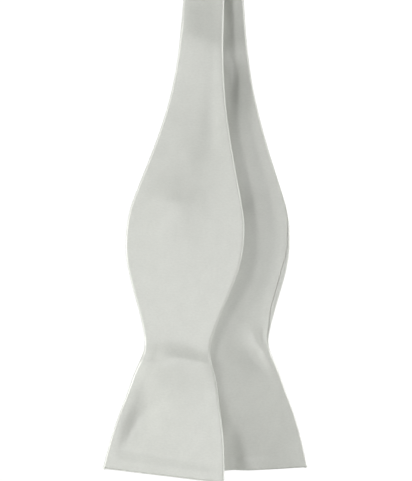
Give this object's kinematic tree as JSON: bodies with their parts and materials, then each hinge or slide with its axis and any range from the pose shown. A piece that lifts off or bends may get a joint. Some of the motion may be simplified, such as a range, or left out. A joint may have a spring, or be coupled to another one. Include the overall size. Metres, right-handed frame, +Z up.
{
  "type": "self-tie bow tie",
  "caption": "Untied self-tie bow tie in pale satin, hanging folded over at the middle of its neckband with both flared ends down, one in front of the other.",
  "frame": {"origin": "underside of the crest of the neckband's fold, where the band rests on the rod that it hangs over", "axes": "+Z up, both ends hang down along -Z; +X to the viewer's right across the cloth; +Y away from the viewer, from the front half to the rear half"},
  "size_m": [0.1083, 0.0202, 0.4644],
  "materials": {
    "satin": "pale silver satin with a soft sheen"
  },
  "bodies": {
    "root": {"front_bow_end_outer_panel": "satin", "front_bow_end_inner_panel": "satin", "front_neckband_outer_panel": "satin", "front_neckband_inner_panel": "satin", "rear_bow_end_outer_panel": "satin", "rear_bow_end_inner_panel": "satin", "rear_neckband_outer_panel": "satin", "rear_neckband_inner_panel": "satin"}
  },
  "joints": []
}
